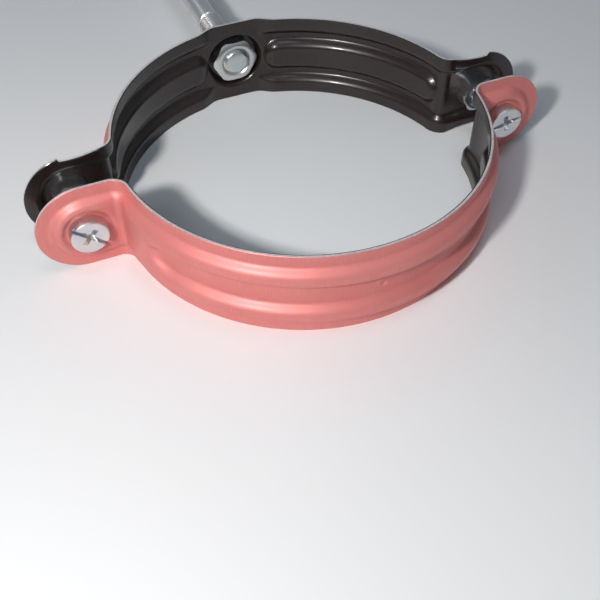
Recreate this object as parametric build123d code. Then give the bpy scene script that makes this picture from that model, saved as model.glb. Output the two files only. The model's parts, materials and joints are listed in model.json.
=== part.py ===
"""Two-piece pressed steel clamp for a round downpipe, with a hanger bolt.

Millimetres, +Z along the pipe. The origin is on the pipe's axis at the band's mid height, +Y points
along the hanger bolt and +X to the right ear. Each band is one strip of sheet, pressed between a die and
a punch: skin(sheet) fills all that lies behind the outer face, skin(0) all that lies behind the inner
face, and the strip is the first less the second. A level is a distance out from the lips' inner face.
Both halves are drawn with the ring towards +Y, and the front one is then turned about the pipe's axis.
"""
from build123d import *
from math import atan2, cos, degrees, radians, sin, sqrt, tan
import os

# Pipe and strip
pipe_radius = 50.0          # inner radius of the lips and ribs, which grip the pipe
band_height = 26.0
sheet = 1.0
ear_gap = 12.0              # between the lips of two facing ears
parting_shift = 3.0         # middle of that gap, off the pipe's axis towards the hanger
screw_offset = 11.5         # from the lips of the ring to the clamp screw's axis
bend_radius = 5.0           # at level 0, where the ring turns out into the ear

# Pressed relief
bead_depth = 2.3            # how far the raised field stands out from the lips
lip_width = 3.5             # flat lip along each edge and round each ear
step_angle = 56.0           # slope of the pressed steps
rib_half_height = 3.1       # rib along the middle, pressed back to the level of the lips
front_rib_end = 29.5        # middle of the rib's round end, in degrees from the X axis
rear_rib_end = 19.5
rib_seat_gap = 5.0          # from the hanger seat's edge to the rib's rounded end
dish_radius = 6.8           # dish for the screw head, where it leaves the raised field
dish_depth = 1.3
punch_radius = 1.1          # punch mark at the middle of the front band, outside only
punch_depth = 0.35

# Hanger seat
seat_half_width = 9.4
cup_wall_angle = 76.0       # round cup in the seat, which keeps the thin nut out of the pipe's way

# Waist of the rear ears
waist_depth = 1.2
waist_start = 9.0           # screw axis to where the waist begins, inwards
waist_corner = 2.4          # screw axis to the corner where it ends, outwards

# Clamp screws and riveted nuts
screw_radius = 3.0
screw_length = 20.0
head_radius = 5.0
head_height = 3.4
head_dish = 0.35
head_rim = 0.5
slot_width = 1.3
slot_depth = 1.5
cross_width = 1.1
cross_length = 5.2
cross_depth = 2.0
slot_turn = {"left": 41.0, "right": -12.0}
nut_across_flats = 10.0
nut_height = 5.0
spigot_radius = 4.2
peen_radius = 4.9
peen_height = 0.6

# Hanger bolt and its nuts
bolt_radius = 4.0
bolt_length = 100.0
bolt_stand_out = 0.5        # stud end beyond the thin nut, inside the band
machine_thread = 26.0
shank_radius = 3.5          # also over the wood screw thread's crests
shank_length = 24.0
point_length = 9.0
point_radius = 0.6
hanger_across_flats = 13.0
thin_nut_height = 4.0
lock_nut_height = 6.5
nut_crown = 0.95            # a nut's flat end face, as a share of its across flats
nut_chamfer_angle = 30.0

# Clearances
screw_hole_clearance = 0.3
thread_clearance = 0.05
bolt_hole_clearance = 0.2
pipe_clearance = 0.1        # from the pipe to the stud's end
cup_clearance = 0.3         # round the thin nut's corners
rivet_clearance = 0.02
edge_chamfer = 0.6          # on the bolt's machined end
spare = 2.0                 # how far a cutting body runs past what it cuts

# Worked out from the sizes above
half_height = band_height / 2
screw_reach = pipe_radius + screw_offset                 # pipe axis to clamp screw axis
ear_end = screw_reach + half_height
step_run = bead_depth / tan(radians(step_angle))
step_shift = sheet * tan(radians(step_angle / 2))        # keeps the sheet's thickness round a step
field_foot = half_height - lip_width                     # foot of the step on the outer face
seat_face = sqrt((pipe_radius + bead_depth) ** 2 - (seat_half_width + step_run / 2) ** 2)
bolt_start = pipe_radius + pipe_clearance
seat_floor = bolt_start + bolt_stand_out + thin_nut_height
cup_radius = hanger_across_flats / sqrt(3) + cup_clearance
sides = {"left": -1, "right": 1}


class Half:
    """Sizes of one pressed half, as it lies before the front one is turned round."""

    def __init__(self, hanger):
        self.hanger = hanger
        self.ear_face = ear_gap / 2 + (parting_shift if hanger else -parting_shift)
        self.rib_end = rear_rib_end if hanger else front_rib_end
        self.bend_y = self.ear_face + bend_radius
        self.bend_x = sqrt((pipe_radius + bend_radius) ** 2 - self.bend_y ** 2)
        self.bend_angle = degrees(atan2(self.bend_y, self.bend_x))   # where the ring meets the bend
        self.field_face = self.ear_face + bead_depth                 # inner face of the ear's raised field
        self.dish_face = self.field_face - dish_depth


front, rear = Half(hanger=False), Half(hanger=True)


def inset(level):
    """How far a raised foot draws in at this level, so that the sheet stays one thickness."""
    return step_shift * (sheet - level) / sheet


def outline(*points):
    """Closed flat outline in the XZ plane."""
    return make_face(Polyline(*[(x, 0, z) for x, z in points], close=True))


def along_y(radius, start, end, x=0.0):
    """Round bar along Y."""
    bar = Cylinder(radius, end - start, rotation=(-90, 0, 0), align=(Align.CENTER, Align.CENTER, Align.MIN))
    return Pos(x, start, 0) * bar


def turned(*points):
    """Body of revolution about Y, from (radius, y) points."""
    face = make_face(Polyline(*[(radius, y) for radius, y in points], close=True))
    return revolve(face, Axis.Y)


def plan(half, level, margin):
    """All that lies behind the skin in plan: the ring, its two bends and the ears."""
    ring, bend, ear = pipe_radius + level, bend_radius - level, half.ear_face + level
    bend_x, bend_y = half.bend_x, half.bend_y
    touch = ring / (pipe_radius + bend_radius)
    middle = radians(225 + half.bend_angle / 2)
    tip, foot = ear_end + margin, -margin
    box = Polyline((-bend_x, ear), (-tip, ear), (-tip, foot), (tip, foot), (tip, ear), (bend_x, ear))
    turn = ThreePointArc((bend_x, ear),
                         (bend_x + bend * cos(middle), bend_y + bend * sin(middle)),
                         (bend_x * touch, bend_y * touch))
    arc = ThreePointArc((bend_x * touch, bend_y * touch), (0, ring), (-bend_x * touch, bend_y * touch))
    return make_face([*box.edges(), *turn.edges(), *arc.edges(), *turn.mirror(Plane.YZ).edges()])


def raised_field(half, level):
    """Field that stands out between the lips: round the ring, through the bends and along the ears."""
    foot = field_foot - inset(level)
    top = foot - step_run
    bend_x, bend_angle, ear_face = half.bend_x, half.bend_angle, half.ear_face
    near, far = level, level + bead_depth
    section = ((-sheet, -foot), (near, -foot), (far, -top), (far, top), (near, foot), (-sheet, foot))
    ring = revolve(outline(*[(pipe_radius + u, z) for u, z in section]), Axis.Z, 180 - 2 * bend_angle)
    field = Rot(Z=bend_angle) * ring
    bend = revolve(outline(*[(bend_radius - u, z) for u, z in section]), Axis.Z, 90 - bend_angle)
    bend = Pos(bend_x, half.bend_y, 0) * Rot(Z=180 + bend_angle) * bend
    arm = extrude(Rot(Z=90) * outline(*[(ear_face + u, z) for u, z in section]), screw_reach - bend_x,
                  dir=(1, 0, 0))
    arm = Pos(bend_x, 0, 0) * arm
    end = turned((0, ear_face - sheet), (foot, ear_face - sheet), (foot, ear_face + near),
                 (top, ear_face + far), (0, ear_face + far))
    end = split(Pos(screw_reach, 0, 0) * end, Plane.YZ.offset(screw_reach), keep=Keep.TOP)
    side = bend + arm + end
    return field + side + mirror(side, Plane.YZ)


def rib(level, start, end):
    """Recess of one rib, from one angle to another, with round ends."""
    floor = rib_half_height + inset(level)
    lip = floor + step_run * (bead_depth + spare) / bead_depth
    near, far = pipe_radius + level, pipe_radius + level + bead_depth + spare
    face = outline((near, -floor), (far, -lip), (far, lip), (near, floor))
    recess = Rot(Z=start) * revolve(face, Axis.Z, end - start)
    root = floor - step_run * spare / bead_depth
    cone = Pos(near - spare, 0, 0) * Cone(root, lip, far - near + spare, rotation=(0, 90, 0),
                                          align=(Align.CENTER, Align.CENTER, Align.MIN))
    core = Cylinder(near, band_height)
    for angle, beyond in ((start, Keep.TOP), (end, Keep.BOTTOM)):
        cap = split(cone, Plane.XZ, keep=beyond)
        recess += Rot(Z=angle) * (cap - core)
    return recess


def dish(half, level, x):
    """Conical dish in an ear's raised field, which the screw head sits in."""
    slope = tan(radians(step_angle))
    floor = dish_radius - dish_depth / slope + inset(level)
    rim = floor + (dish_depth + spare) / slope
    face = half.dish_face + level
    return Pos(x, 0, 0) * turned((0, face), (floor, face), (rim, face + dish_depth + spare),
                                 (0, face + dish_depth + spare))


def seat(level, margin):
    """Flat pad over the band's full height, with the round cup for the thin nut."""
    top = seat_face + level
    half = seat_half_width - inset(level)
    foot = half + 2 * step_run
    pad = make_face(Polyline((-half, top), (half, top), (foot, top - 2 * bead_depth),
                             (-foot, top - 2 * bead_depth), close=True))
    pad = extrude(pad, half_height + margin, both=True)
    floor = cup_radius + level * tan(radians(cup_wall_angle / 2))
    root = floor + (seat_floor - seat_face + bead_depth) / tan(radians(cup_wall_angle))
    cup = turned((0, top - bead_depth), (root, top - bead_depth), (floor, seat_floor + level),
                 (0, seat_floor + level))
    return pad + cup


def above_seat(level, margin):
    """What the flat pad takes off the raised field."""
    depth = bead_depth + spare
    block = Box(4 * seat_half_width, depth, band_height + 2 * margin,
                align=(Align.CENTER, Align.MIN, Align.CENTER))
    return Pos(0, seat_face + level, 0) * block


def punch_mark():
    """Small round mark in the outer face, at the middle of the front band."""
    ball = (punch_radius ** 2 + punch_depth ** 2) / (2 * punch_depth)
    return Pos(0, pipe_radius + sheet - punch_depth + ball, 0) * Sphere(ball)


def skin(half, level, margin):
    """All that lies behind one face of a band, as pressed. The band with the hanger has the seat."""
    body = extrude(plan(half, level, margin), half_height + margin, both=True)
    body += raised_field(half, level)
    if half.hanger:
        seat_edge = degrees(atan2(seat_face, seat_half_width + rib_seat_gap))
        body -= above_seat(level, margin)
        body -= rib(level, half.rib_end, seat_edge)
        body -= rib(level, 180 - seat_edge, 180 - half.rib_end)
        return body + seat(level, margin)
    body -= rib(level, half.rib_end, 180 - half.rib_end)
    for side in sides.values():
        body -= dish(half, level, side * screw_reach)
    return body


def blank(half):
    """Outline of the strip seen along the hanger bolt: straight edges and round ears."""
    shape = Rectangle(2 * screw_reach, band_height)
    for side in sides.values():
        shape += Pos(side * screw_reach, 0) * Circle(half_height)
    if half.hanger:
        shape -= waists()
    return extrude(Rot(X=90) * shape, pipe_radius + 2 * bead_depth + sheet, dir=(0, 1, 0))


def waists():
    """Shallow waist in both edges of both rear ears' necks."""
    corner = sqrt(half_height ** 2 - waist_corner ** 2)
    start, end = screw_reach - waist_start, screw_reach + waist_corner
    middle = screw_reach - waist_start / 3
    low = half_height - waist_depth
    arc = ThreePointArc((start, half_height), (middle, low), (end - waist_depth / 2, low))
    rest = Polyline((end - waist_depth / 2, low), (end, corner), (end, half_height + spare),
                    (start, half_height + spare), (start, half_height))
    notch = make_face([*arc.edges(), *rest.edges()])
    pair = notch + mirror(notch, Plane.XZ)
    return pair + mirror(pair, Plane.YZ)


def band(half):
    """One pressed half, opening towards -Y."""
    body = (skin(half, sheet, 0.0) - skin(half, 0.0, spare)) & blank(half)
    hole = spigot_radius + rivet_clearance if half.hanger else screw_radius + screw_hole_clearance
    for side in sides.values():
        body -= along_y(hole, 0, pipe_radius / 2, side * screw_reach)
    if half.hanger:
        return body - along_y(bolt_radius + bolt_hole_clearance, pipe_radius / 2, 2 * pipe_radius)
    return body - punch_mark()


def hexagon_nut(across_flats, start, end, chamfer_start, chamfer_end, bore):
    """Hexagon nut along Y, with its corners turned off at one end or both."""
    corner = across_flats / sqrt(3)
    crown = nut_crown * across_flats / 2
    wide = corner + spare
    rise = (wide - crown) * tan(radians(nut_chamfer_angle))
    prism = Pos(0, end, 0) * extrude(Plane.XZ * RegularPolygon(corner, 6), end - start)
    low = [(crown, start), (wide, start + rise)] if chamfer_start else [(wide, start)]
    high = [(wide, end - rise), (crown, end)] if chamfer_end else [(wide, end)]
    lathe = turned((0, start), *low, *high, (0, end))
    return (prism & lathe) - along_y(bore, start - spare, end + spare)


def clamp_screw(side):
    """Cheese head screw with a dished face and a combined slot and cross recess."""
    under = -(front.dish_face + sheet)
    face = under - head_height
    crest = screw_radius - thread_clearance
    body = turned((0, face + head_dish), (head_radius - head_rim, face), (head_radius - head_rim / 2, face),
                  (head_radius, face + head_rim / 2), (head_radius, under), (crest, under),
                  (crest, under + screw_length - edge_chamfer),
                  (screw_radius - edge_chamfer, under + screw_length), (0, under + screw_length))
    slot = Box(2 * head_radius + spare, 2 * slot_depth, slot_width)
    cross = Box(cross_width, 2 * cross_depth, cross_length) + Box(cross_length, 2 * cross_depth, cross_width)
    recess = Pos(0, face + head_dish, 0) * Rot(Y=slot_turn[side]) * (slot + cross)
    return Pos(sides[side] * screw_reach, 0, 0) * (body - recess)


def clamp_nut(side):
    """Hexagon nut on the inner face of a rear ear, its spigot peened over behind the ear."""
    face = rear.field_face
    back = face + sheet
    bore = screw_radius
    body = hexagon_nut(nut_across_flats, face - nut_height, face, True, False, bore)
    spigot = along_y(spigot_radius, face - sheet, back + peen_height / 2)
    peen = turned((0, back), (peen_radius, back), (peen_radius - peen_height / 2, back + peen_height),
                  (0, back + peen_height))
    spigot = (spigot + peen) - along_y(bore, face - spare, back + spare)
    return Pos(sides[side] * screw_reach, 0, 0) * (body + spigot)


def hanger_bolt():
    """Machine thread, plain shank and wood screw point, in one piece."""
    thread_end = bolt_start + machine_thread
    shank_end = thread_end + shank_length
    tip = bolt_start + bolt_length
    return turned((0, bolt_start), (bolt_radius - edge_chamfer, bolt_start),
                  (bolt_radius, bolt_start + edge_chamfer), (bolt_radius, thread_end - edge_chamfer),
                  (shank_radius, thread_end), (shank_radius, shank_end), (shank_radius, tip - point_length),
                  (point_radius, tip), (0, tip))


def hanger_nuts():
    """Thin nut in the round seat, and the lock nut that pulls it tight from outside."""
    bore = bolt_radius + rivet_clearance
    outside = seat_floor + sheet
    thin = hexagon_nut(hanger_across_flats, seat_floor - thin_nut_height, seat_floor, True, False, bore)
    lock = hexagon_nut(hanger_across_flats, outside, outside + lock_nut_height, True, True, bore)
    return thin, lock


def build():
    """All nodes by name."""
    parts = {"front_band": Rot(Z=180) * band(front), "rear_band": band(rear)}
    for side in sides:
        parts["clamp_screw_" + side] = clamp_screw(side)
        parts["clamp_nut_" + side] = clamp_nut(side)
    parts["hanger_bolt"] = hanger_bolt()
    parts["hanger_nut"], parts["hanger_lock_nut"] = hanger_nuts()
    return parts


os.makedirs("parts", exist_ok=True)
for name, part in build().items():
    part.label = name
    export_step(part, "parts/" + name + ".step")
    print(name, len(part.solids()), "solid", round(part.volume, 1), "mm3")
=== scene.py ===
# %% [markdown]
# A pressed steel pipe clamp.
# Two strips of sheet steel, pressed and bent into halves, grip a downpipe. Two screws through their ears
# pull them together, and a hanger bolt with a nut on each side of the band holds the clamp to the wall.
# The packed model gives the places and the main sizes, and every further size is named before it is used.
# Lengths are worked out in millimetres and turned into metres when a mesh is made.

# %% Load the frame
import json
import math

import bmesh
import bpy
import numpy as np
from mathutils import Matrix, Vector


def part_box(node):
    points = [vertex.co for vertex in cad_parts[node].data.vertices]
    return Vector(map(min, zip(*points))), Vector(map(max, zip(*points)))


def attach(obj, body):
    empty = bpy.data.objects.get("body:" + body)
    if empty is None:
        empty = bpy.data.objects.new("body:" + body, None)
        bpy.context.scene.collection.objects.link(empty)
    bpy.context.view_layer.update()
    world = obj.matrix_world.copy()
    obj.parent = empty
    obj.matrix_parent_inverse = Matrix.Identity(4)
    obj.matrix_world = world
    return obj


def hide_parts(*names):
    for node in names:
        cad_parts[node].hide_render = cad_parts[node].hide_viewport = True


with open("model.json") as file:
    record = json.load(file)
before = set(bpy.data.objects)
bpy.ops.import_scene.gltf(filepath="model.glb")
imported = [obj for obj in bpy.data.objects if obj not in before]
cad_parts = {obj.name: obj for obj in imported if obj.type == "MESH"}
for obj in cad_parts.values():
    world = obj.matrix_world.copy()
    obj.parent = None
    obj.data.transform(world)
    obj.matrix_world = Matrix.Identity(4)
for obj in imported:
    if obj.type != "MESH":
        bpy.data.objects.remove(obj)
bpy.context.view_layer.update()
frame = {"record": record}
MM = 0.001


# %% Sizes that the frame gives
X, Y, Z = 0, 1, 2


def span(node, axis):
    """Lowest and highest place of a node along one axis, in mm."""
    low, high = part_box(node)
    return low[axis] / MM, high[axis] / MM


pipe_radius = next(m["dims"]["r_mm"] for m in frame["record"]["mounts"] if m["name"] == "pipe_bore")
edge = span("rear_band", Z)[1]                      # from the strip's middle line to its cut edges
screw_reach = sum(span("clamp_screw_right", X)) / 2
front_ear, rear_ear = -span("front_band", Y)[1], span("rear_band", Y)[0]
bolt_start, bolt_end = span("hanger_bolt", Y)
bolt_radius = span("hanger_bolt", Z)[1]
print("pipe radius", pipe_radius, "half height", edge, "screw axis", round(screw_reach, 2),
      "ears", round(front_ear, 2), round(rear_ear, 2))

# %% [markdown]
# What the press did to each strip.
# A die and a punch leave a raised field between two flat lips, a rib along the middle that is pressed
# back to the lips, a dish round each front screw, and a flat seat with a round cup for the hanger nut.
# A level is how far the sheet stands out from the lips. The sheet's steps have soft corners, because steel
# stretches over a tool, so levels are joined by a minimum and a maximum with rounded corners.

# %% Sizes of the pressing
sheet = 1.0                                         # thickness of the steel
bead_depth = 2.3                                    # level of the raised field
bend_radius = 5.0                                   # between ear and ring, on the face towards the pipe
step_angle = math.radians(56)                       # of the walls of field, rib and dish
slope = math.tan(step_angle)
draw_in = sheet / 2 * math.tan(step_angle / 2)      # how far a step's foot lies in on the middle surface
lip_width, rib_half_width = 3.5, 3.1
field_foot = edge - lip_width - draw_in
rib_floor = rib_half_width + draw_in
front_rib_end, rear_rib_end = 29.5, 19.5            # degrees round the pipe from the X axis
rear_rib_clear = 14.4                               # from the bolt's axis to the rear ribs, along X
dish_radius, dish_depth = 6.8, 1.3
dish_floor = dish_radius - dish_depth / slope + draw_in
seat_face, seat_floor = 51.3, 54.6                  # lips and cup's floor at the hanger bolt, along Y
print("the field's foot lies", round(field_foot, 2), "mm from the middle line")

# %% Minimum and maximum with soft corners
softness = 1.1


def soft_min(a, b, blend=softness):
    """Minimum whose corner is rounded where a and b lie within blend."""
    mix = np.clip(0.5 + (b - a) / (2 * blend), 0, 1)
    return b * (1 - mix) + a * mix - blend * mix * (1 - mix)


def soft_max(a, b, blend=softness):
    """Maximum, rounded in the same way."""
    return -soft_min(-a, -b, blend)


print("two equal levels meet", round(float(soft_max(0.0, 0.0)), 3), "mm above both")

# %% [markdown]
# One half as a flat strip.
# A half is easiest to describe before it is bent. A flat place is (u, z): u runs along the strip from the
# screw's axis to the middle, z across it. The pressing is a level over that flat strip, and the strip is
# then wrapped round the bend and the pipe. The other side of a half is its mirror image. A modelled and
# bevelled solid would need every corner drawn, and here the soft levels draw them all.
# In the tight bend the tool can't draw the field to its full level, so the level sinks there. That stretch
# is too wide: it reaches the seats of the screws and nuts. A screw's head stands up to 0.12 mm off the front
# band for it, and a riveted nut's corner 0.24 mm inside the rear band. By the formula below, half the
# stretch would leave less than 0.01 mm of either.

# %% One half's path, and its level at any place
bend_sinking, bend_stretch = 0.38, 5.5              # share of the level lost in the bend, over how many mm


class Half:
    """One half of the clamp, as a path along the strip and a level at each flat place."""

    def __init__(self, ear, rib_end, hanger):
        self.ear, self.hanger = ear, hanger
        self.bend_y = ear + bend_radius
        self.bend_x = math.sqrt((pipe_radius + bend_radius) ** 2 - self.bend_y ** 2)
        self.bend_angle = math.atan2(self.bend_y, self.bend_x)
        self.bend_start = screw_reach - self.bend_x
        self.ring_start = self.bend_start + bend_radius * (math.pi / 2 - self.bend_angle)
        self.middle = self.ring_start + pipe_radius * (math.pi / 2 - self.bend_angle)
        self.rib_end = math.radians(rib_end)
        self.rib_top = math.atan2(seat_face, rear_rib_clear) if hanger else math.pi / 2
        self.rib_fade = 1.0 if hanger else 0.5      # the front rib runs out gently

    def angle(self, u):
        """Angle round the pipe from the X axis."""
        return self.bend_angle + (u - self.ring_start) / pipe_radius

    def level(self, u, z):
        """Level of the sheet's middle surface above the lips, on the side from the ear to the middle."""
        from_screw = np.hypot(u, z)
        field = slope * (field_foot - np.where(u < 0, from_screw, abs(z)))
        turn = self.angle(u)
        past = np.maximum(np.maximum(self.rib_end - turn, turn - self.rib_top), 0) * (pipe_radius + sheet)
        rib = slope * (np.hypot(past * self.rib_fade, z) - rib_floor)
        level = soft_max(soft_min(soft_min(field, rib), bead_depth), 0 * u)
        if not self.hanger:
            floor = bead_depth - dish_depth
            dish = soft_max(floor + slope * (from_screw - dish_floor), floor + 0 * u)
            level = soft_min(level, dish)
        return level

    def place(self, u, z):
        """Point of the middle surface."""
        side = np.where(u > self.middle, -1.0, 1.0)
        u = np.minimum(u, 2 * self.middle - u)
        from_bend = (u - (self.bend_start + self.ring_start) / 2) / bend_stretch
        out = self.level(u, z) * (1 - bend_sinking * np.exp(-from_bend ** 2)) + sheet / 2
        bend, turn = 3 * math.pi / 2 - (u - self.bend_start) / bend_radius, self.angle(u)
        stretches = [u < self.bend_start, u < self.ring_start]      # the ear, the bend, and else the ring
        x = np.select(stretches, [screw_reach - u, self.bend_x + (bend_radius - out) * np.cos(bend)],
                      (pipe_radius + out) * np.cos(turn))
        y = np.select(stretches, [self.ear + out, self.bend_y + (bend_radius - out) * np.sin(bend)],
                      (pipe_radius + out) * np.sin(turn))
        return np.stack([side * x, y, z + 0 * x], axis=-1)


front = Half(front_ear, front_rib_end, hanger=False)
rear = Half(rear_ear, rear_rib_end, hanger=True)
for name, half in (("front", front), ("rear", rear)):
    print(name, "half: strip length", round(2 * (half.middle + edge), 1), "mm flat")

# %% [markdown]
# The seat for the hanger bolt.
# The ring is pressed flat where the bolt goes through, with a cup that takes the nut out of the pipe's way.
# The cup has walls of 76 degrees, too steep for a level along the strip, so here a place is given as (x, z)
# and the surface as a height along the bolt. The cup's profile is drawn once with real arcs and is added
# to the flat seat.

# %% The cup's profile
hanger_flats, cup_gap = 13.0, 0.3                   # the hanger nuts across flats, and room round a corner
cup_wall, cup_bend = math.radians(76), 0.8
cup_floor = hanger_flats / math.sqrt(3) + cup_gap + sheet / 2 * math.tan(cup_wall / 2)


def cup_profile(steps=7):
    """Radii and heights of the cup's wall, from its floor to the seat."""
    rise = seat_floor - seat_face
    run = cup_bend * math.tan(cup_wall / 2)
    arc = np.linspace(0, cup_wall, steps)
    low_r = cup_floor - run + cup_bend * np.sin(arc)
    low_h = rise - cup_bend * (1 - np.cos(arc))
    top = cup_floor + rise / math.tan(cup_wall) + run
    high_r = (top - cup_bend * np.sin(arc))[::-1]
    high_h = (cup_bend * (1 - np.cos(arc)))[::-1]
    return np.concatenate([low_r, high_r]), np.concatenate([low_h, high_h])


cup_radii, cup_heights = cup_profile()
print("cup: floor radius", round(cup_floor, 2), "mouth radius", round(cup_radii[-1], 2))

# %% The seat as a height over (x, z)
seat_half_width = 8.3
seat_half = seat_half_width - draw_in
seat_slope = math.tan(math.radians(40))
seat_softness, seat_power = 1.8, 4                  # a power mean joins the seat to the ring without a crease
seat_reach, seat_rim = 13.0, pipe_radius + 1.6      # half width of the patch, and the radius where it ends
seat_turn = math.asin(seat_reach / seat_rim)
fade_start, fade_end = 11.0, seat_reach - 0.4       # the patch turns into the plain ring over these x
ring_guess = pipe_radius + 2
tiny = 1e-6


def ring_height(x, z, rounds=14):
    """Height of the ring as it would be without a seat. Its level depends on the answer, so it is refined."""
    out = ring_guess + 0 * x
    for _ in range(rounds):
        turn = np.arccos(np.clip(np.abs(x) / out, 0, 1))
        u = rear.ring_start + (turn - rear.bend_angle) * pipe_radius
        out = pipe_radius + sheet / 2 + rear.level(u, z)
    return np.sqrt(out ** 2 - x ** 2)


def seat_height(x, z):
    """Height along the bolt of the rear band's middle surface, near the hanger bolt."""
    ring, plane = ring_height(x, z), seat_face + sheet / 2
    below = np.maximum(soft_max(plane - ring, 0 * x), tiny)
    side = soft_max(seat_slope * (np.abs(x) - seat_half), 0 * x, seat_softness) + tiny
    flat = plane - (below ** -seat_power + side ** -seat_power) ** (-1 / seat_power)
    fade = np.clip((np.abs(x) - fade_start) / (fade_end - fade_start), 0, 1)
    fade = fade * fade * (3 - 2 * fade)
    return flat * (1 - fade) + ring * fade + np.interp(np.hypot(x, z), cup_radii, cup_heights)


def seat_place(x, z):
    """Point of the middle surface, in the way that Half.place gives it."""
    return np.stack([x, seat_height(x, z), z], axis=-1)


print("the seat's patch ends", round(math.degrees(seat_turn), 1), "degrees from the bolt")

# %% [markdown]
# From a surface to a sheet.
# A strip of steel is one thickness everywhere, so both faces are the middle surface moved half a sheet
# along its own normal, and not copies that are simply shifted. The cut edges close the gap between them
# with a small rounding. Patches are made side by side and then welded, so the band is one closed mesh.
# A Solidify modifier would do much the same, but it can't give the rim its rounding and its own finish.

# %% Closing a mesh
sheet_edge, metal_edge, nut_edge = 40, 32, 24       # degrees from which an edge stays hard


def close_mesh(mesh, hard, weld=0.0):
    """Welds a mesh, turns its faces outwards, keeps its hard edges hard and counts what is open."""
    work = bmesh.new()
    work.from_mesh(mesh)
    if weld:
        bmesh.ops.remove_doubles(work, verts=work.verts, dist=weld * MM)
    bmesh.ops.recalc_face_normals(work, faces=work.faces)
    open_edges = sum(1 for e in work.edges if not e.is_manifold)
    work.to_mesh(mesh)
    work.free()
    mesh.shade_smooth()
    mesh.set_sharp_from_angle(angle=math.radians(hard))
    print(mesh.name, len(mesh.polygons), "faces,", open_edges, "open edges")
    return mesh


print("edges stay hard from", sheet_edge, "degrees on bands,", metal_edge, "on screws,", nut_edge, "on nuts")

# %% A sheet that collects patches
burr = 0.12                                         # rounding of the cut edges
seam = 0.02                                         # patches closer than this are welded
paint_line = -0.2                                   # the brown paint covers the cut edge from here inwards
OUTSIDE, INSIDE, CUT = 0, 1, 2


def normals(place, a, b, step=0.01):
    """Unit normals of a surface, by small steps both ways."""
    da = place(a + step, b) - place(a - step, b)
    db = place(a, b + step) - place(a, b - step)
    n = np.cross(da, db)
    return n / np.linalg.norm(n, axis=-1, keepdims=True)


class Sheet:
    """Both faces and the cut edges of one pressed strip."""

    def __init__(self):
        self.points, self.faces, self.finish, self.count = [], [], [], 0

    def add(self, grid, finish, flip):
        """A grid of points, joined into quads."""
        rows, columns = grid.shape[:2]
        number = self.count + np.arange(rows * columns).reshape(rows, columns)
        quads = np.stack([number[:-1, :-1], number[1:, :-1], number[1:, 1:], number[:-1, 1:]], axis=-1)
        quads = quads.reshape(-1, 4)
        self.faces.append(quads[:, ::-1] if flip else quads)
        self.points.append(grid.reshape(-1, 3))
        self.finish += [finish] * len(quads)
        self.count += rows * columns

    def patch(self, place, a, b, turned=1, mark=None):
        """Both faces over a grid of flat places. A mark is pressed into the outer face only."""
        middle, n = place(a, b), normals(place, a, b) * turned
        depth = 0 * a if mark is None else mark(a, b)
        self.add(middle + n * (sheet / 2 - depth)[..., None], OUTSIDE, turned < 0)
        self.add(middle - n * sheet / 2, INSIDE, turned > 0)

    def cut(self, place, inner, outer, turned=1):
        """The cut edge between two rows of flat places, the burr's foot and the real edge."""
        offsets = ((inner, 0.5), (outer, 0.5 - burr), (outer, paint_line), (outer, burr - 0.5), (inner, -0.5))
        rows = []
        for row, offset in offsets:
            a, b = row[:, 0], row[:, 1]
            rows.append(place(a, b) + normals(place, a, b) * turned * offset * sheet)
        for first, second, finish in zip(rows, rows[1:], (OUTSIDE, CUT, INSIDE, INSIDE)):
            self.add(np.stack([first, second]), finish, False)

    def mesh(self, name, half_turn):
        """One welded mesh, in metres. The front half is made on +Y like the rear and turned round."""
        points = np.concatenate(self.points) * MM
        if half_turn:
            points[:, :2] *= -1
        mesh = bpy.data.meshes.new(name)
        mesh.from_pydata(points.tolist(), [], np.concatenate(self.faces).tolist())
        mesh.polygons.foreach_set("material_index", self.finish)
        return close_mesh(mesh, sheet_edge, seam)


print("a cut edge is rounded over", burr * sheet, "mm")

# %% [markdown]
# Where the strip is sampled.
# Flat steel needs few points and a soft corner needs many. A grid that is even everywhere would spend most of
# its faces on the flats, so the rows lie close together on the walls and at the ribs' ends only.

# %% Places across and along the strip
def runs(*stretches):
    """Places from several stretches (start, end, step), each place once."""
    places = [np.linspace(a, b, max(2, round(abs(b - a) / step) + 1)) for a, b, step in stretches]
    return np.unique(np.round(np.concatenate(places), 6))


middle_step, flat_step, wall_step, crest_step, lip_step = 0.26, 0.4, 0.3, 0.6, 0.72
mark_end, rib_wall_start, rib_wall_end, field_wall_start, lip_start = 1.6, 2.4, 5.8, 7.0, 10.0
half_across = runs((0, mark_end, middle_step), (mark_end, rib_wall_start, flat_step),
                   (rib_wall_start, rib_wall_end, wall_step), (rib_wall_end, field_wall_start, crest_step),
                   (field_wall_start, lip_start, wall_step), (lip_start, edge - burr, lip_step))
across = np.concatenate([-half_across[:0:-1], half_across])


def ring_places(half):
    """Places along the strip from the bend to the middle, closer together at the rib's ends."""
    bend_step, rib_end_step, ring_step, plain_step = 0.45, 0.35, 1.0, 0.8
    reach, top_step = (6.0, 0.5) if half.hanger else (mark_end, 0.2)    # by the seat, or at the punch mark
    before_rib, into_rib = 6.5, 1.5
    rib = half.ring_start + (half.rib_end - half.bend_angle) * pipe_radius
    near, far = max(half.ring_start, rib - before_rib), rib + into_rib
    top = half.middle - (seat_turn * pipe_radius if half.hanger else 0)
    stretches = [(half.bend_start, half.ring_start, bend_step), (near, far, rib_end_step),
                 (far, top, ring_step), (top - reach, top, top_step)]
    if near > half.ring_start:
        stretches.append((half.ring_start, near, plain_step))
    return runs(*stretches)


print(len(across), "places across the strip,", len(ring_places(front)), "and", len(ring_places(rear)),
      "along a side")

# %% [markdown]
# The outline of the ears.
# An ear ends in a half circle about the screw. The rear strip is also nipped in beside its screws, so its
# outline has a shallow waist: one arc, and a short line to the ear. Asking how far a ray from the screw
# reaches gives any such outline, without working out where its parts meet.

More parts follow.
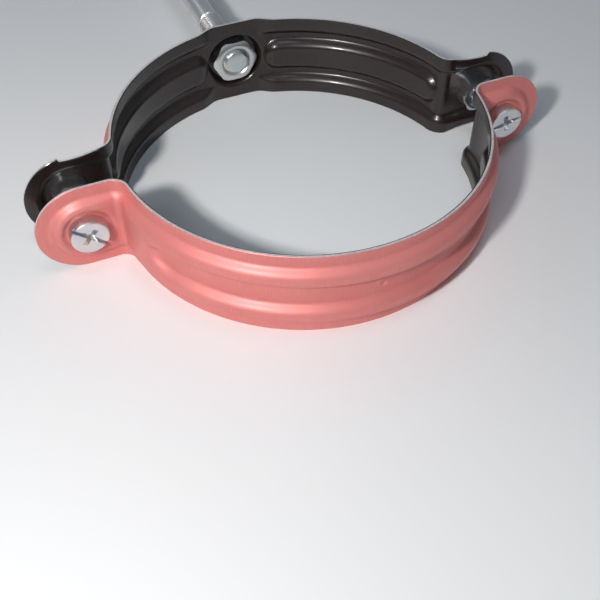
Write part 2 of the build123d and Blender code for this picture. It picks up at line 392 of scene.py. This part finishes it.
# %% Waist and outline
waist_low, waist_start, waist_corner, waist_chord = edge - 1.2, 9.0, 2.4, 1.8
waist_inner = waist_start / 3
waist_middle = (waist_inner - waist_chord) / 2
waist_top = (((waist_start - waist_middle) ** 2 + edge ** 2) - ((waist_inner - waist_middle) ** 2
             + waist_low ** 2)) / (2 * (edge - waist_low))
waist_curve = math.hypot(waist_inner - waist_middle, waist_top - waist_low)


def half_width(half, u):
    """From the strip's middle line to its cut edge."""
    width = np.where(u < 0, np.sqrt(np.maximum(edge ** 2 - u ** 2, 0)), edge)
    if not half.hanger:
        return width
    curve = waist_top - np.sqrt(np.maximum(waist_curve ** 2 - (u - waist_middle) ** 2, 0))
    corner = math.sqrt(edge ** 2 - waist_corner ** 2)
    share = np.clip((-waist_chord - u) / (waist_corner - waist_chord), 0, 1)
    low = curve.clip(max=edge) * (1 - share) + corner * share
    return np.where((u > -waist_corner) & (u < waist_start), np.minimum(width, low), width)


def in_width(half, u, z):
    """Moves a row of the lips in where the strip has its waist."""
    spare = (half_width(half, u) - burr - lip_start) / (edge - burr - lip_start)
    return np.where(np.abs(z) > lip_start, np.sign(z) * (lip_start + (np.abs(z) - lip_start) * spare), z)


def ear_outline(half, count=104, halvings=50, hair=1e-9):
    """Directions round the screw and how far the ear reaches in each, with the bend's side first."""
    u0 = half.bend_start
    z0 = in_width(half, np.full(len(across), u0), across)
    start = math.atan2(half_width(half, np.array(u0)), u0)
    turn = np.linspace(start, 2 * math.pi - start, count)[1:-1]
    if half.hanger:
        for u in (-waist_chord, -waist_corner):
            at = math.atan2(float(half_width(half, np.array(u + hair))), u)
            turn = np.append(turn, [at, 2 * math.pi - at])
    turn = np.sort(turn)
    low, high = 0 * turn, 0 * turn + 2 * edge
    for _ in range(halvings):
        reach = (low + high) / 2
        u, z = reach * np.cos(turn), reach * np.sin(turn)
        inside = (u < u0 + hair) & (np.abs(z) < half_width(half, u)) & (u > -edge)
        low, high = np.where(inside, reach, low), np.where(inside, high, reach)
    return u0, z0, turn, low


print("waist: radius", round(waist_curve, 1), "mm")

# %% [markdown]
# Ears and sides.
# Round features need rings, not rows: the hole, the dish and the ear's round end all share the screw's
# axis. So each ear is a fan of rays from the hole to the outline, and only its straight side, where the
# bend begins, takes the rows of the strip. The rest of a side is a plain grid of rows.


# %% One ear, and one side of the strip
def on_side(half, mirrored):
    """How a side of a half is placed, and whether its faces are turned by that."""
    if mirrored:
        return (lambda u, z: half.place(u, z) * [-1, 1, 1]), -1
    return half.place, 1


def polar(radius, angles):
    """Points at these angles, as rows of two."""
    return np.stack([radius * np.cos(angles), radius * np.sin(angles)], 1)


def add_ear(band, half, hole, mirrored, rings=30):
    """The ear, the edge of its hole and its outline's edge."""
    place, turned = on_side(half, mirrored)
    u0, z0, turn, reach = ear_outline(half)
    ends = np.concatenate([np.stack([np.full(len(z0), u0), z0], 1), polar(reach - burr, turn)])
    ends = np.concatenate([ends, ends[:1]])
    aim = np.arctan2(ends[:, 1], ends[:, 0])
    start = polar(hole + burr, aim)
    share = np.linspace(0, 1, rings)[:, None, None]
    fan = start * (1 - share) + ends * share
    band.patch(place, fan[..., 0], fan[..., 1], turned)
    band.cut(place, start, polar(hole, aim), turned)
    corner = np.array([[u0, float(half_width(half, np.array(u0)))]])
    outer = np.concatenate([corner, polar(reach, turn), corner * [1, -1]])
    inner = np.concatenate([ends[len(z0) - 1:-1], ends[:1]])
    band.cut(place, inner, outer, turned)


def add_strip(band, half, mirrored, mark=None):
    """The bend and the ring, row by row, and both their edges."""
    place, turned = on_side(half, mirrored)
    places = ring_places(half)
    u, z = np.meshgrid(places, across, indexing="ij")
    z = in_width(half, u, z)
    band.patch(place, u, z, turned, mark)
    for side in (0, -1):
        inner = np.stack([u[:, side], z[:, side]], 1)
        outer = np.stack([places, np.sign(across[side]) * half_width(half, places)], 1)
        band.cut(place, inner, outer, turned)


print("the front ear reaches", round(float(ear_outline(front)[3].max()), 2), "mm from its screw")

# %% [markdown]
# The front half.
# Its ring is symmetrical, so the same rows are made for the right and the left. A small punch mark sits
# in the middle of the rib, in the outer face only, as a press leaves it.

# %% Front band
punch_radius, punch_depth = 1.1, 0.35
front_hole = 3.3                                    # radius, the screw passes freely


def punch(u, z):
    """Depth of the punch mark below the outer face."""
    away = np.hypot(u - front.middle, z) / punch_radius
    return punch_depth * np.clip(1 - away ** 2, 0, None) ** 1.5


front_sheet = Sheet()
for mirrored in (False, True):
    add_strip(front_sheet, front, mirrored, punch)
    add_ear(front_sheet, front, front_hole, mirrored)
front_mesh = front_sheet.mesh("front_band_pressed", half_turn=True)


# %% [markdown]
# The rear half.
# The seat takes the place of the middle rows. Its rays run from the bolt's hole through the cup, whose
# rings lie close together on the steep wall, to the first row of the ring on each side.

# %% Rear band
rear_hole, bolt_gap = 4.22, 0.2                     # radius for the riveted nut's spigot, room round the bolt


def add_seat(band, hole, rows=27, floor_rings=6, flat_rings=14):
    """The seat with its cup, the edge of the bolt's hole and the two cut edges."""
    turn = math.pi / 2 - seat_turn
    u = np.full(len(across), rear.ring_start + (turn - rear.bend_angle) * pipe_radius)
    side = rear.place(u, across)
    top = np.linspace(-1, 1, rows)[1:-1] * side[0, X]
    right = side[:, [X, Z]]
    upper = np.stack([top[::-1], np.full(len(top), edge - burr)], 1)
    ends = np.concatenate([right, upper, -right, -upper])
    ends = np.concatenate([ends, ends[:1]])
    aim = np.arctan2(ends[:, 1], ends[:, 0])
    radii = np.concatenate([np.linspace(hole + burr, cup_radii[0], floor_rings)[:-1], cup_radii])
    rings = [polar(radius, aim) for radius in radii]
    mouth = rings[-1]
    rings += [mouth * (1 - share) + ends * share for share in np.linspace(0, 1, flat_rings)[1:]]
    fan = np.stack(rings)
    band.patch(seat_place, fan[..., 0], fan[..., 1], turned=-1)
    band.cut(seat_place, rings[0], polar(hole, aim), turned=-1)
    first = len(right) - 1
    for start, sign in ((first, 1), (first + len(upper) + len(right), -1)):
        inner = np.take(ends[:-1], range(start, start + len(upper) + 2), axis=0, mode="wrap")
        outer = np.stack([inner[:, 0], np.full(len(inner), sign * edge)], 1)
        band.cut(seat_place, inner, outer, turned=-1)


rear_sheet = Sheet()
for mirrored in (False, True):
    add_strip(rear_sheet, rear, mirrored)
    add_ear(rear_sheet, rear, rear_hole, mirrored)
add_seat(rear_sheet, bolt_radius + bolt_gap)
rear_mesh = rear_sheet.mesh("rear_band_pressed", half_turn=False)

# %% [markdown]
# Fasteners.
# Screws, nuts and the hanger bolt are all round about Y, so each is a stack of rings. A ring's radius and
# place may change round it, which is enough for a hexagon with turned corners and for a thread: the thread
# is a groove whose phase goes round with the angle, cut off by the blank's own outline.

# %% Rings about Y
def lathe(stations, segments, closed):
    """Vertices and faces of a stack of rings, each (y, radius) with a number or one value per segment."""
    angles = np.arange(segments) * 2 * math.pi / segments
    rings = [np.stack([radius * np.cos(angles), y + 0 * angles, radius * np.sin(angles)], 1)
             for y, radius in stations]
    points = np.concatenate(rings)
    number = np.arange(len(points)).reshape(len(rings), segments)
    if closed:
        number = np.concatenate([number, number[:1]])
    around = np.roll(number, -1, axis=1)
    quads = np.stack([number[:-1], around[:-1], around[1:], number[1:]], axis=-1).reshape(-1, 4).tolist()
    if not closed:
        quads += [number[0][::-1].tolist(), number[-1].tolist()]
    return points, quads


def metal_mesh(name, points, faces, hard=metal_edge):
    """A mesh in metres, from points in millimetres."""
    mesh = bpy.data.meshes.new(name)
    mesh.from_pydata((points * MM).tolist(), [], faces)
    return close_mesh(mesh, hard)


def put(name, data):
    """A new object in the scene."""
    thing = bpy.data.objects.new(name, data)
    bpy.context.collection.objects.link(thing)
    return thing


print("three rings of six make", len(lathe([(0, 1), (1, 1), (1, 2)], 6, closed=True)[1]), "faces when closed")

# %% A thread as a radius
machine_thread = {"root_share": 0.25, "crest_share": 0.125}     # shares of the pitch that are flat
wood_thread = {"root_share": 0.5, "crest_share": 0.06}


def spiral(y, angles, crest, depth, pitch, root_share, crest_share):
    """Radius of a right-hand thread round a ring at y."""
    phase = np.mod(y / pitch + angles / (2 * math.pi), 1)
    away = np.abs(2 * phase - 1)
    groove = np.clip((away - crest_share) / (1 - crest_share - root_share), 0, 1)
    return crest - depth * groove


print("flat shares of a pitch: machine", machine_thread, "wood", wood_thread)

# %% [markdown]
# Clamp screws.
# Each has a broad, slightly hollow head with a slot and a cross in it, so that either driver fits, and a
# rolled thread that fades in under the head. The blank is a stack of rings. The recess has flat walls that
# no ring could follow, so it is cut by tapered wedges with the Boolean modifier, and the cutters go away.

# %% Blank of a clamp screw
head_radius, head_height = 5.0, 3.4
head_hollow, hollow_radius = 0.35, 4.3
hollow_rings = (0.4, 1.4, 2.4, 3.3, 3.9, hollow_radius)
head_rim = ((0, 4.42), (0, 4.68), (0.06, 4.85), (0.18, 4.96), (0.32, head_radius))  # below the face, radius
screw_crest, screw_pitch, screw_depth, screw_segments = 2.95, 1.0, 0.58, 72
head_foot = ((-0.15, head_radius), (0, head_radius - 0.12), (0, screw_crest + 0.35), (0.1, screw_crest))
head_face, screw_end = span("clamp_screw_right", Y)
head_under = head_face + head_height
thread_start, thread_fade, thread_step, screw_tip = head_under + 0.8, 1.0, 0.1, 0.6


def screw_stations():
    """Rings from the middle of the head's face to the end of the thread."""
    angles = np.arange(screw_segments) * 2 * math.pi / screw_segments
    face = [(head_face + head_hollow * (1 - (r / hollow_radius) ** 2), r) for r in hollow_rings]
    rim = [(head_face + below, radius) for below, radius in head_rim]
    foot = [(head_under + past, radius) for past, radius in head_foot]
    thread = []
    for y in np.arange(thread_start, screw_end + 1e-6, thread_step):
        depth = screw_depth * np.clip((y - thread_start) / thread_fade, 0, 1)
        radius = spiral(y, angles, screw_crest, depth, screw_pitch, **machine_thread)
        thread.append((y, np.minimum(radius, screw_crest - screw_tip + (screw_end - y))))
    return face + rim + foot + thread


print("screw blank:", len(screw_stations()), "rings")

# %% The recess, and the two screws
mouth = head_face + head_hollow                     # bottom of the head's hollow face
slot = ((1.1, 7, 0.36), (-0.02, 7, 0.46), (-0.3, 7, 0.6), (-2, 7, 0.6))     # depth, half length, half width
cross = ((2.0, 0.9, 0.3), (1.6, 1.5, 0.5), (0, 2.6, 0.68), (-2, 2.6, 0.8))
slot_turn = {"left": math.radians(41), "right": math.radians(-12)}


def wedge(levels, turn):
    """Tapered cutter for a recess, from its floor to past its mouth."""
    points, faces = [], []
    for depth, length, width in levels:
        for x, z in ((length, width), (-length, width), (-length, -width), (length, -width)):
            points.append((x * math.cos(turn) + z * math.sin(turn), mouth + depth,
                           -x * math.sin(turn) + z * math.cos(turn)))
    last = 4 * (len(levels) - 1)
    for low in range(0, last, 4):
        faces += [[low + k, low + (k + 1) % 4, low + 4 + (k + 1) % 4, low + 4 + k] for k in range(4)]
    return np.array(points), faces + [[3, 2, 1, 0], [last, last + 1, last + 2, last + 3]]


def cut_recess(mesh, turn):
    """Cuts the slot and the cross into the head."""
    piece, cutters = put("uncut", mesh), []
    for levels, quarter in ((slot, 0), (cross, 0), (cross, math.pi / 2)):
        cutter = put("cutter", metal_mesh("recess", *wedge(levels, turn + quarter)))
        cut = piece.modifiers.new("recess", "BOOLEAN")
        cut.operation, cut.object, cut.solver = "DIFFERENCE", cutter, "EXACT"
        cutters.append(cutter)
    graph = bpy.context.evaluated_depsgraph_get()
    done = bpy.data.meshes.new_from_object(piece.evaluated_get(graph))
    for thing in cutters + [piece]:
        bpy.data.objects.remove(thing)
    done.shade_smooth()
    done.set_sharp_from_angle(angle=math.radians(metal_edge))
    return done


screw_meshes = {}
for side, sign in (("left", -1), ("right", 1)):
    blank = metal_mesh("screw_blank", *lathe(screw_stations(), screw_segments, closed=False))
    screw_meshes[side] = cut_recess(blank, slot_turn[side])
    screw_meshes[side].transform(Matrix.Translation((sign * screw_reach * MM, 0, 0)))
    print("screw", side, len(screw_meshes[side].polygons), "faces")


# %% [markdown]
# Nuts.
# A nut's corners are turned off by a cone, so the edge between cone and flat is a curve that dips in the
# middle of each side. The ring there takes its height from the hexagon's own radius, which draws it exactly.
# The riveted nuts have a spigot through the ear, whose rim is spread behind it.

# %% The hexagon, and one end of a nut
nut_segments = 96
nut_angles = np.arange(nut_segments) * 2 * math.pi / nut_segments
corner_wear, crown_share, crown_ring, crown_step = 0.42, 0.89, 0.35, 0.04
chamfer_rise = math.tan(math.radians(30))
bore_chamfer, arris = 0.75, 0.06


def hexagon(across_flats):
    """Radius of a hexagon with slightly worn corners, one of them on the X axis."""
    flat = across_flats / 2
    radius = flat / np.cos(np.mod(nut_angles + 1e-9, math.pi / 3) - math.pi / 6)
    return np.minimum(radius, across_flats / math.sqrt(3) - corner_wear)


def bore_mouth(y, bore, inward):
    """Rings of the chamfer at one end of a bore, from inside to the face."""
    return [(y + bore_chamfer * inward, bore), (y, bore + bore_chamfer)]


def turned_end(across_flats, y, inward):
    """Rings of a nut's end, outwards. inward is 1 where the nut lies towards +Y and -1 where not."""
    radius, crown = hexagon(across_flats), crown_share * across_flats / 2
    return [(y, crown - crown_ring), (y + crown_step * inward, crown),
            (y + inward * (crown_step + (radius - crown) * chamfer_rise), radius)]


def plain_end(across_flats, y):
    """Rings of a flat end on the +Y side, whose arris is just broken."""
    return [(y - arris, hexagon(across_flats)), (y, hexagon(across_flats) - arris)]


print("a hanger nut's corners reach", round(float(hexagon(hanger_flats).max()), 2), "mm")

# %% The nuts on the hanger bolt
bolt_play = 0.02


def loose_nut(name, node, both):
    """A nut with a turned end towards -Y, and one towards +Y as well where both is true."""
    (low, high), bore = span(node, Y), bolt_radius + bolt_play
    end = turned_end(hanger_flats, high, -1)[::-1] if both else plain_end(hanger_flats, high)
    shape = bore_mouth(low, bore, 1) + turned_end(hanger_flats, low, 1) + end
    points, faces = lathe(shape + bore_mouth(high, bore, -1)[::-1], nut_segments, closed=True)
    return metal_mesh(name, points, faces, nut_edge)


thin_nut_mesh = loose_nut("hanger_nut_turned", "hanger_nut", both=False)
lock_nut_mesh = loose_nut("hanger_lock_nut_turned", "hanger_lock_nut", both=True)

# %% The nuts riveted into the rear ears
clamp_flats, clamp_bore, spigot_radius = 10, 3.0, 4.2
spread_rim = ((0, 4.75), (0.15, 4.9), (0.38, 4.78))             # behind the ear, radius
spigot_end = ((-0.05, 4.4), (0, 4.15), (0, 3.35), (-0.3, clamp_bore))


def riveted_nut(name, sign):
    """Nut on the ear's inner face, its spigot spread behind the ear."""
    low, back = span("clamp_nut_right", Y)
    face = rear_ear + bead_depth
    behind = face + sheet
    shape = bore_mouth(low, clamp_bore, 1) + turned_end(clamp_flats, low, 1) + plain_end(clamp_flats, face)
    shape += [(face, spigot_radius), (behind, spigot_radius)]
    shape += [(behind + past, radius) for past, radius in spread_rim]
    shape += [(back + past, radius) for past, radius in spigot_end]
    points, faces = lathe(shape, nut_segments, closed=True)
    return metal_mesh(name, points + [sign * screw_reach, 0, 0], faces, nut_edge)


nut_meshes = {side: riveted_nut("clamp_nut_" + side + "_turned", sign)
              for side, sign in (("left", -1), ("right", 1))}

# %% [markdown]
# The hanger bolt.
# It has an M8 thread for the nuts, a plain shank, and a coarse wood screw thread with a point. All three
# lie on one stack of rings, so the bolt is one closed mesh.

# %% Hanger bolt
bolt_segments = 64
thread_length, plain_to = 26, 50                    # from the end inside the band
thread_end, shank_end = bolt_start + thread_length, bolt_start + plain_to
machine_pitch, machine_depth, machine_fade, machine_step = 1.25, 0.72, 1.5, 0.125
groove_start, groove_end = bolt_start + 0.12, thread_end - 0.6
end_chamfer = 0.66                                  # the thread's first turns are cut off by a cone
shank_radius, point_length, point_radius, point_tip = 3.5, 9.0, 0.6, 0.3
bolt_cap = ((0, 0.5), (0, bolt_radius - 0.75), (0.06, bolt_radius - 0.62))      # from the end, radius
shoulder = ((-0.55, bolt_radius), (-0.1, shank_radius + 0.08), (0, shank_radius))   # from the thread's end
wood_pitch, wood_depth, wood_step = 3.2, 0.95, 0.25
wood_fade_in, wood_fade_out, wood_left = 3, 4, 0.2  # mm to full depth, mm to the point, share left there


def bolt_stations():
    """Rings from the end inside the band to the point."""
    angles = np.arange(bolt_segments) * 2 * math.pi / bolt_segments
    cap = [(bolt_start + past, radius) for past, radius in bolt_cap]
    machine = []
    for y in np.arange(groove_start, groove_end, machine_step):
        depth = machine_depth * np.clip((groove_end - y) / machine_fade, 0, 1)
        radius = spiral(y, angles, bolt_radius, depth, machine_pitch, **machine_thread)
        machine.append((y, np.minimum(radius, bolt_radius - end_chamfer + y - bolt_start)))
    shank = [(thread_end + past, radius) for past, radius in shoulder] + [(shank_end - 0.4, shank_radius)]
    wood = []
    for y in np.append(np.arange(shank_end, bolt_end, wood_step), bolt_end):
        left = bolt_end - y
        grow = np.clip((y - shank_end) / wood_fade_in, 0, 1) * np.clip(left / wood_fade_out + wood_left, 0, 1)
        cone = point_radius + (shank_radius - point_radius) * np.clip(left / point_length, 0, 1)
        radius = spiral(y, angles, shank_radius, wood_depth * grow, wood_pitch, **wood_thread)
        wood.append((y, np.maximum(radius * cone / shank_radius, point_tip)))
    return cap + machine + shank + wood


bolt_mesh = metal_mesh("hanger_bolt_threaded", *lathe(bolt_stations(), bolt_segments, closed=False))

# %% [markdown]
# Nodes as sums.
# A finish is maths on sockets: a streak is a noise times a strength, added to a plain roughness. The Wire
# class lets these be written as Python expressions, and each operator adds the Math node that it means. It
# has the operators that are used here, and their reflected forms let a plain number stand first.


# %% A small class for node maths
class Wire:
    """One output of a node, with arithmetic."""

    def __init__(self, finish, socket):
        self.finish, self.socket = finish, socket

    def _math(self, operation, first, second):
        return self.finish.node("Math", {"operation": operation}, {0: first, 1: second})

    def __add__(self, other):
        return self._math("ADD", self, other)

    def __radd__(self, other):
        return self._math("ADD", other, self)

    def __mul__(self, other):
        return self._math("MULTIPLY", self, other)

    def __rmul__(self, other):
        return self._math("MULTIPLY", other, self)


print("operators:", [name for name in vars(Wire) if name.endswith(("add__", "mul__"))])


# %% A material or the world, with its nodes
class Finish:
    """The nodes of one material, or of the world. Any node but Math comes from its node method."""

    def __init__(self, name, kept_in=bpy.data.materials):
        self.owner = kept_in.new(name)
        self.owner.use_nodes = True
        self.owner.node_tree.nodes.clear()

    def node(self, kind, settings=None, sockets=None, output=0):
        """Adds a node, sets it up, and then fills or links its sockets."""
        node = self.owner.node_tree.nodes.new("ShaderNode" + kind)
        for key, value in (settings or {}).items():
            if key == "stops":
                ramp = node.color_ramp.elements
                while len(ramp) < len(value):
                    ramp.new(0.5)
                for stop, (place, colour) in zip(ramp, value):
                    stop.position, stop.color = place, colour
            else:
                setattr(node, key, value)
        for key, value in (sockets or {}).items():
            if isinstance(value, Wire):
                self.owner.node_tree.links.new(value.socket, node.inputs[key])
            else:
                node.inputs[key].default_value = value
        return Wire(self, node.outputs[output]) if node.outputs else None

    def noise(self, scale, stretch=(1, 1, 1), detail=3.0, roughness=0.5):
        """Noise from 0 to 1 over the object, with features about 1 / scale metres apart."""
        place = self.node("TexCoord", output="Object")
        moved = self.node("Mapping", sockets={"Vector": place, "Scale": stretch})
        return self.node("TexNoise", sockets={"Vector": moved, "Scale": scale, "Detail": detail,
                                              "Roughness": roughness})

    def ramp(self, value, low, high):
        """0 below low, 1 above high."""
        return self.node("ValToRGB", {"stops": [(low, (0, 0, 0, 1)), (high, (1, 1, 1, 1))]}, {"Fac": value})

    def mix(self, share, first, second):
        """Mix of two colours."""
        return self.node("Mix", {"data_type": "RGBA"}, {0: share, 6: first, 7: second}, output=2)

    def bump(self, height, distance, strength=1.0):
        """A relief of this height in metres, for a shader's Normal."""
        return self.node("Bump", sockets={"Height": height, "Distance": distance, "Strength": strength})

    def done(self, **sockets):
        """Ends in a Principled shader with these sockets."""
        return self.end(self.node("BsdfPrincipled",
                                  sockets={k.replace("_", " "): v for k, v in sockets.items()}))

    def end(self, shader, kind="OutputMaterial"):
        """Links a shader to the output."""
        self.node(kind, sockets={"Surface": shader})
        print(self.owner.name, len(self.owner.node_tree.nodes), "nodes")
        return self.owner


print("finish methods:", [name for name in vars(Finish) if not name.startswith("_")])

# %% [markdown]
# Salmon paint outside.
# It is a satin lacquer with a metallic grain. Fine brushing runs up and down the strip, across its length,
# so the noise is squeezed round the ring and drawn out along Z. A slow, cloudy noise changes the depth of
# the colour a little, and the brushing also makes the gloss uneven and leaves a faint relief.

# %% Outside paint
outside = Finish("salmon_paint")
brushed = outside.noise(4200, (1, 1, 0.06), detail=3, roughness=0.55)
cloudy = outside.noise(60, detail=2)
tone = outside.ramp(0.6 * brushed + 0.4 * cloudy, 0.34, 0.66)
salmon = outside.mix(tone, (0.665, 0.205, 0.190, 1), (0.735, 0.260, 0.243, 1))
outside_paint = outside.done(Base_Color=salmon, Metallic=0.40, Roughness=0.46 + 0.14 * brushed,
                             Coat_Weight=0.12, Coat_Roughness=0.28,
                             Normal=outside.bump(brushed, 0.00001, 0.4))

# %% [markdown]
# Brown paint inside.
# Dark glossy enamel shows its colour least and its reflections most. It is nearly smooth, with the slow
# waviness of sprayed enamel, which bends the reflections on the pressed edges.

# %% Inside paint
inside = Finish("brown_enamel")
wavy = inside.noise(150, detail=2)
speck = inside.noise(1400, detail=3)
brown = inside.mix(inside.ramp(speck, 0.4, 0.7), (0.015, 0.0082, 0.0066, 1), (0.025, 0.0148, 0.0120, 1))
inside_paint = inside.done(Base_Color=brown, Roughness=0.26 + 0.12 * speck, Coat_Weight=0.25,
                           Coat_Roughness=0.12, Normal=inside.bump(wavy + 0.15 * speck, 0.00012, 0.5))

# %% [markdown]
# Bare cut edges.
# The rim is bare steel, as on a strip that is painted before it is cut, and torn a little by the shears. A
# rough, partly metallic surface looks pale from every side, where a clean mirror would go dark from some.

# %% Cut edges
bare = Finish("bare_cut_edge")
shear = bare.noise(1500, detail=4, roughness=0.6)
bare_tone = bare.mix(bare.ramp(shear, 0.35, 0.65), (0.62, 0.62, 0.61, 1), (0.86, 0.86, 0.85, 1))
bare_steel = bare.done(Base_Color=bare_tone, Metallic=0.55, Roughness=0.34 + 0.25 * shear,
                       Normal=bare.bump(shear, 0.00004, 0.6))

# %% [markdown]
# Zinc plate.
# Bright zinc has a cold, slightly blue tone with pale yellow where the passivation is thicker. Both are
# weak, so they are mixed by a slow noise, and a finer one makes the plate's grain.

# %% Zinc
zinc = Finish("zinc_plate")
hue = zinc.ramp(zinc.noise(260, detail=2), 0.35, 0.7)
grain = zinc.noise(2200, detail=4, roughness=0.6)
plate = zinc.mix(hue, (0.62, 0.68, 0.74, 1), (0.76, 0.75, 0.70, 1))
zinc_plate = zinc.done(Base_Color=plate, Metallic=1.0, Roughness=0.24 + 0.12 * grain,
                       Normal=zinc.bump(grain, 0.00001, 0.3))


# %% [markdown]
# Pieces and bodies.
# The front band slides on its screws, and everything else but the screws stays with the rear band. Each piece
# stands for one node of the packed model and rides on that node's body, so that a pose moves it.

# %% Put the pieces on their bodies
def piece(name, mesh, node, slot, materials):
    """Adds a piece that stands for a CAD node and rides on that node's body."""
    thing = put(name, mesh)
    for material in materials:
        mesh.materials.append(material)
    body = next(b for b, nodes in frame["record"]["behaviour"]["bodies"].items() if node in nodes)
    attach(thing, body)
    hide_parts(node)
    print(name, "rides on", body)


paints = [outside_paint, inside_paint, bare_steel]
piece("pressed_front_band", front_mesh, "front_band", "painted_steel", paints)
piece("pressed_rear_band", rear_mesh, "rear_band", "painted_steel", paints)
for side in ("left", "right"):
    piece("combi_screw_" + side, screw_meshes[side], "clamp_screw_" + side, "zinc_steel", [zinc_plate])
    piece("riveted_nut_" + side, nut_meshes[side], "clamp_nut_" + side, "zinc_steel", [zinc_plate])
piece("threaded_hanger_bolt", bolt_mesh, "hanger_bolt", "zinc_steel", [zinc_plate])
piece("thin_hanger_nut", thin_nut_mesh, "hanger_nut", "zinc_steel", [zinc_plate])
piece("outer_hanger_nut", lock_nut_mesh, "hanger_lock_nut", "zinc_steel", [zinc_plate])

# %% [markdown]
# The table.
# A pale sheet, nearly white, with a slow, faint change of tone such as coated board has. The near lamp does
# not reach its far part, so beyond a quarter of a metre it turns into a plain pale tone. That tone is seen
# by the camera and in reflections only, and sheds no light on the clamp or into its shadow.

# %% Table
backdrop_tone, in_reflections = (0.60, 0.63, 0.66, 1), 0.4
near_end, far_start = 0.24, 0.75                    # metres from the clamp


def seen(finish):
    """1 for what the camera sees, in_reflections for what a reflection sees, and 0 for light on a surface."""
    by_camera = finish.node("LightPath", output="Is Camera Ray")
    return by_camera + in_reflections * finish.node("LightPath", output="Is Glossy Ray")


table_finish = Finish("pale_table")
patchy = table_finish.noise(9, detail=2)
pale = table_finish.mix(table_finish.ramp(patchy, 0.3, 0.7), (0.85, 0.855, 0.86, 1), (0.88, 0.88, 0.885, 1))
grained = table_finish.bump(table_finish.noise(90, detail=2), 0.0001, 0.2)
board = table_finish.node("BsdfPrincipled", sockets={"Base Color": pale, "Roughness": 0.55, "Normal": grained})
backdrop = table_finish.node("Emission", sockets={"Color": backdrop_tone, "Strength": 1.0})
here = table_finish.node("TexCoord", output="Object")
distance = table_finish.node("VectorMath", {"operation": "LENGTH"}, {0: here}, output="Value")
far_share = table_finish.ramp(distance, near_end, far_start) * seen(table_finish)
table_paint = table_finish.end(table_finish.node("MixShader", sockets={0: far_share, 1: board, 2: backdrop}))
half_table, table_top = 3.0, -edge * MM
table_mesh = bpy.data.meshes.new("table")
table_mesh.from_pydata([(x * half_table, y * half_table, table_top)
                        for x, y in ((-1, -1), (1, -1), (1, 1), (-1, 1))], [], [(0, 1, 2, 3)])
table_mesh.materials.append(table_paint)
table = put("table", table_mesh)

# %% [markdown]
# Light.
# A small soft box stands close by at the front left, 0.4 m away, so its light falls off across the table and
# its shadows spread. A soft window stands further off in the same direction. A cool panel above draws long
# reflections on the enamel, a second one behind keeps the back from going dark, and the world fills the rest.
# A square lamp of power P lights a surface at distance d by P / (pi d^2), and a white matt surface sends
# 1 / pi of that to the eye, so a lamp's power can be given as the level at which it renders white.


# %% Lamps
def lamp(name, place, size, level, colour):
    """A square lamp that looks at the clamp. At level 1 a white surface that faces it renders as white."""
    place = Vector(place)
    light = bpy.data.lights.new(name, "AREA")
    light.size, light.color = size, colour
    light.energy = level * math.pi ** 2 * place.length_squared
    thing = put(name, light)
    thing.location = place
    thing.rotation_euler = (-place).to_track_quat("-Z", "Y").to_euler()
    print(name, round(place.length, 2), "m away,", round(light.energy, 2), "W")


lamp("soft_box", (-0.212, -0.190, 0.235), size=0.03, level=0.71, colour=(1.0, 0.98, 0.955))
lamp("window", (-0.55, -0.50, 0.75), size=0.30, level=0.12, colour=(0.90, 0.95, 1.0))
lamp("top_panel", (0.05, -0.15, 1.10), size=0.34, level=0.12, colour=(0.70, 0.85, 1.0))
lamp("back_panel", (-0.38, 0.66, 0.64), size=0.50, level=0.05, colour=(0.80, 0.90, 1.0))

# %% World
room = Finish("room", bpy.data.worlds)
fill = room.node("Background", sockets={"Color": (0.90, 0.95, 1.0, 1), "Strength": 0.06})
beyond = room.node("Background", sockets={"Color": backdrop_tone, "Strength": 1.0})
mixed = room.node("MixShader", sockets={0: seen(room), 1: fill, 2: beyond})
bpy.context.scene.world = room.end(mixed, "OutputWorld")
bpy.context.scene.view_settings.view_transform = "Standard"

# %% [markdown]
# Camera.
# It looks down at 48 degrees from the front left. A lens of 54 mm on a 36 mm sensor is slightly longer than
# the eye's view, which keeps the ring's ellipse calm. The camera is tilted a little about its own axis, so
# its three directions are worked out from its aim and its up, and become the columns of its matrix.

# %% Camera
camera_place = Vector((-79.75, -178.34, 160.85)) * MM
camera_aim = Vector((-21.0, -48.0, 0.0)) * MM
camera_up = Vector((0.2885, 0.6896, 0.6642))
back = (camera_place - camera_aim).normalized()
right = camera_up.cross(back).normalized()
turn_camera = Matrix((right, back.cross(right), back)).transposed()
camera_data = bpy.data.cameras.new("camera")
camera_data.lens, camera_data.sensor_width = 54.07, 36
camera_data.clip_start, camera_data.clip_end = 0.01, 20
camera = put("camera", camera_data)
camera.matrix_world = Matrix.Translation(camera_place) @ turn_camera.to_4x4()
bpy.context.scene.camera = camera
print("camera", round((camera_place - camera_aim).length, 3), "m from its aim")

# %% [markdown]
